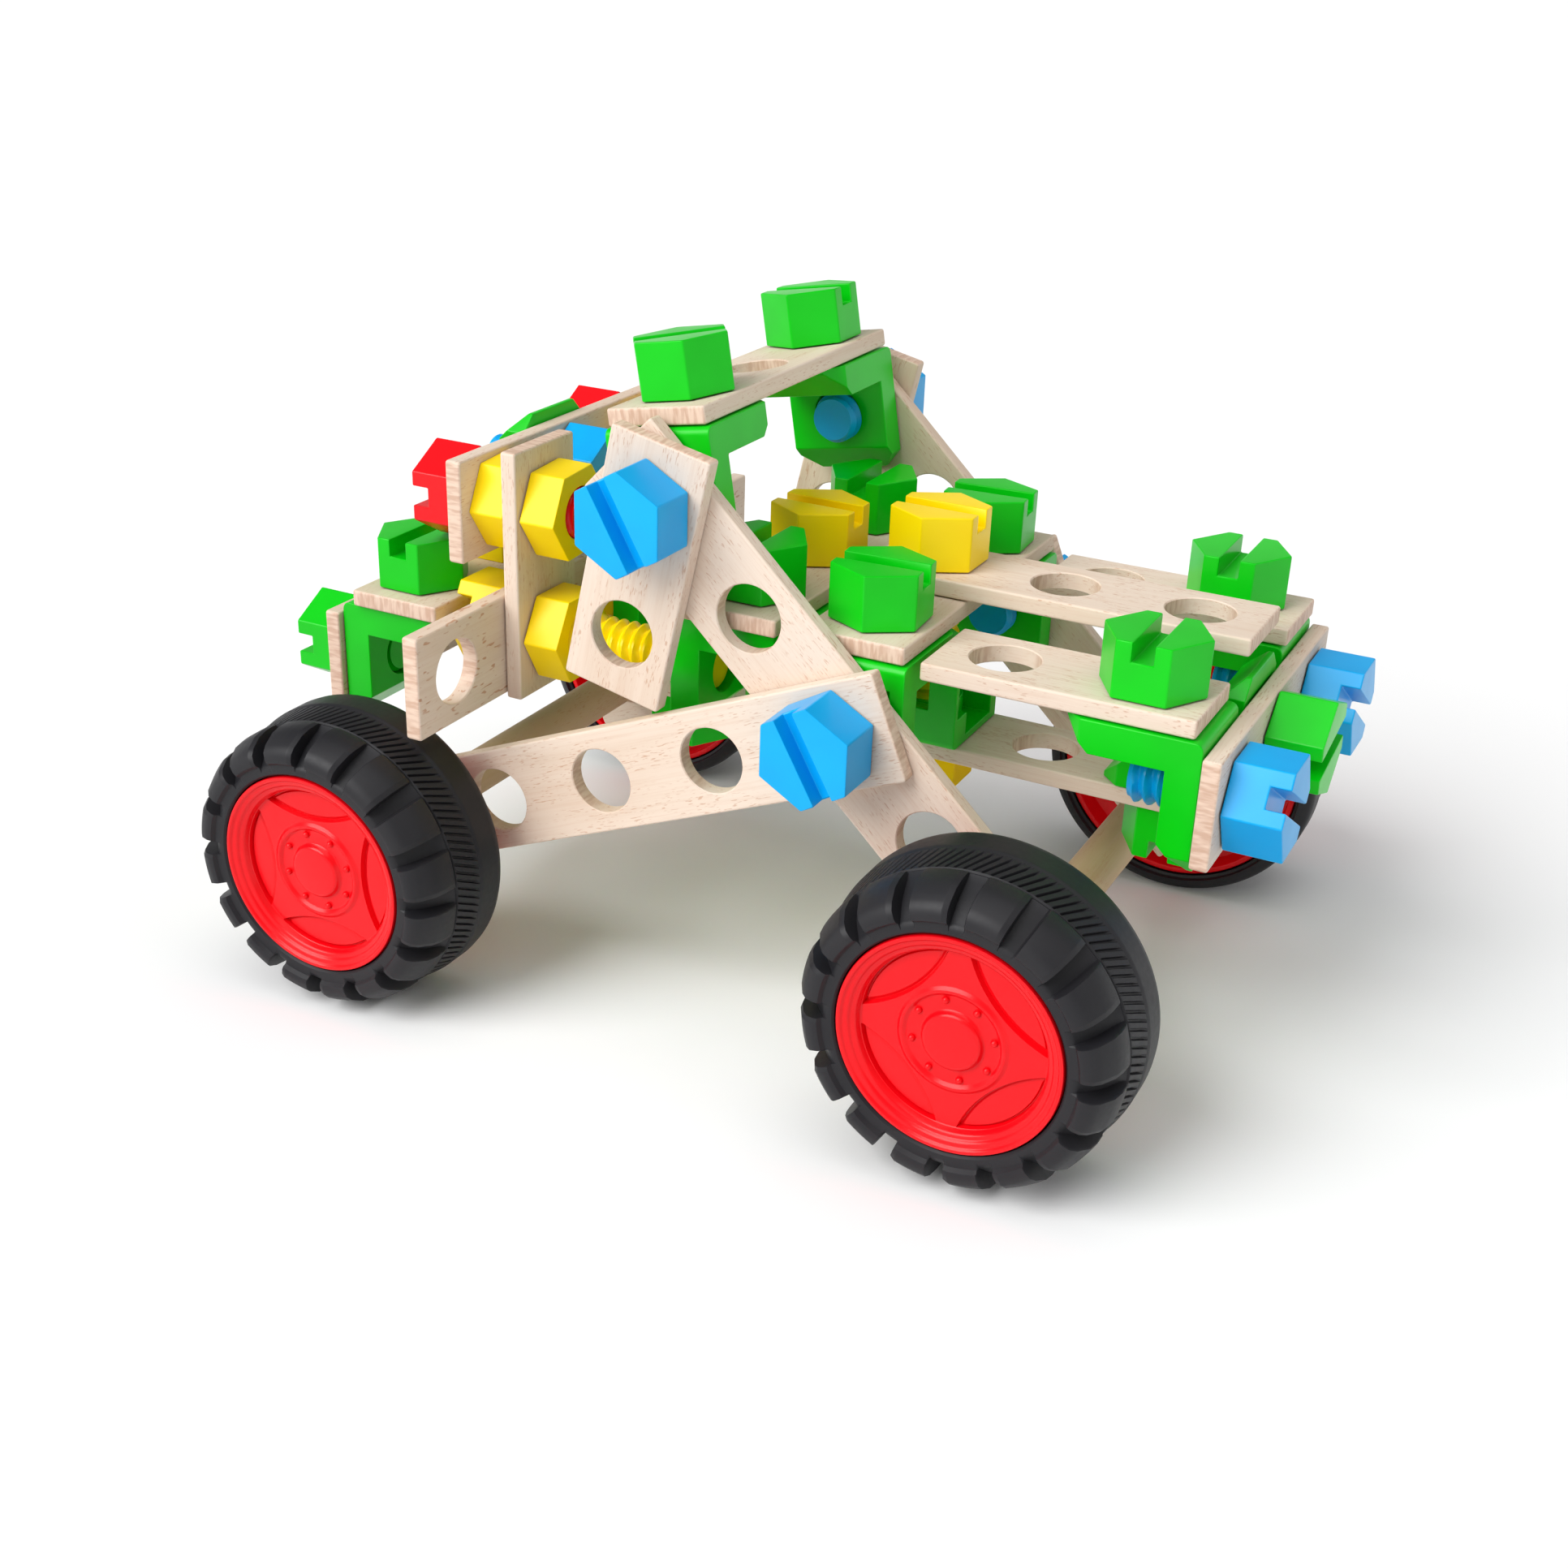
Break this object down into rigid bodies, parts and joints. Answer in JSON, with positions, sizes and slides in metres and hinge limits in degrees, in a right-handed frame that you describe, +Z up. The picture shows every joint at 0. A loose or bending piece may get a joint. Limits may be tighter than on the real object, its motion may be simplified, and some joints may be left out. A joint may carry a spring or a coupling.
{
  "type": "toy buggy",
  "caption": "Wooden construction-kit buggy: drilled beech strips joined by slotted plastic bolts, nuts and angle brackets, on rubber-tyred wheels that turn.",
  "frame": {"origin": "on the floor under the middle of the model's bounding box, standing on its four wheels", "axes": "+X from the hood towards the tail, +Y towards the right-hand side, +Z up"},
  "size_m": [0.243, 0.1788, 0.1527],
  "materials": {
    "axle_beech": "sanded",
    "beech": "sanded",
    "blue": "semi-gloss",
    "flecked_beech": "sanded",
    "green": "semi-gloss",
    "red": "semi-gloss",
    "rubber": "matt",
    "yellow": "semi-gloss"
  },
  "bodies": {
    "chassis": {"bumper_bolt_left": "green", "bumper_bolt_right": "green", "bumper_strip": "beech", "cab_bracket_left": "green", "cab_bracket_right": "green", "cross_strip_front": "beech", "cross_strip_rear": "beech", "deck_plank_left": "beech", "deck_plank_middle": "beech", "deck_plank_right": "beech", "diagonal_left": "beech", "diagonal_right": "beech", "grille_bolt": "blue", "headlight_bolt_left": "red", "headlight_bolt_right": "red", "hood_bracket_left": "green", "hood_bracket_middle": "green", "hood_bracket_right": "green", "hood_strip": "beech", "lower_arm_left": "beech", "lower_arm_right": "beech", "lower_crossbar": "flecked_beech", "mid_bolt_left": "blue", "mid_bolt_right": "blue", "nose_bolt": "red", "nose_bracket": "green", "rear_bracket_left": "green", "rear_bracket_middle": "green", "rear_bracket_right": "green", "rear_wall_strip": "beech", "roof_bracket_left": "green", "roof_bracket_right": "green", "roof_strip": "beech", "shoulder_bracket_left": "green", "shoulder_bracket_right": "green", "side_strip_left": "beech", "side_strip_right": "beech", "spacer_bracket_front": "green", "spacer_bracket_rear": "green", "tie_bolt_left": "yellow", "tie_bolt_right": "yellow", "top_bolt_left": "blue", "top_bolt_right": "blue", "under_beam": "beech", "upper_crossbar": "beech", "upright_left": "beech", "upright_right": "beech", "wall_bolt_left": "blue", "wall_bolt_middle": "green", "wall_bolt_right": "blue"},
    "front_axle_set": {"front_axle": "axle_beech", "front_hub_left": "red", "front_hub_right": "red", "front_tyre_left": "rubber", "front_tyre_right": "rubber"},
    "rear_axle_set": {"rear_axle": "axle_beech", "rear_hub_left": "red", "rear_hub_right": "red", "rear_tyre_left": "rubber", "rear_tyre_right": "rubber"}
  },
  "joints": [
    {"name": "front_axle_spin", "type": "hinge", "parent": "chassis", "child": "front_axle_set", "pos_m": [-0.082, 0, 0.03448], "axis": [0, 1, 0], "continuous": true},
    {"name": "rear_axle_spin", "type": "hinge", "parent": "chassis", "child": "rear_axle_set", "pos_m": [0.07251, 0, 0.03448], "axis": [0, 1, 0], "continuous": true}
  ]
}
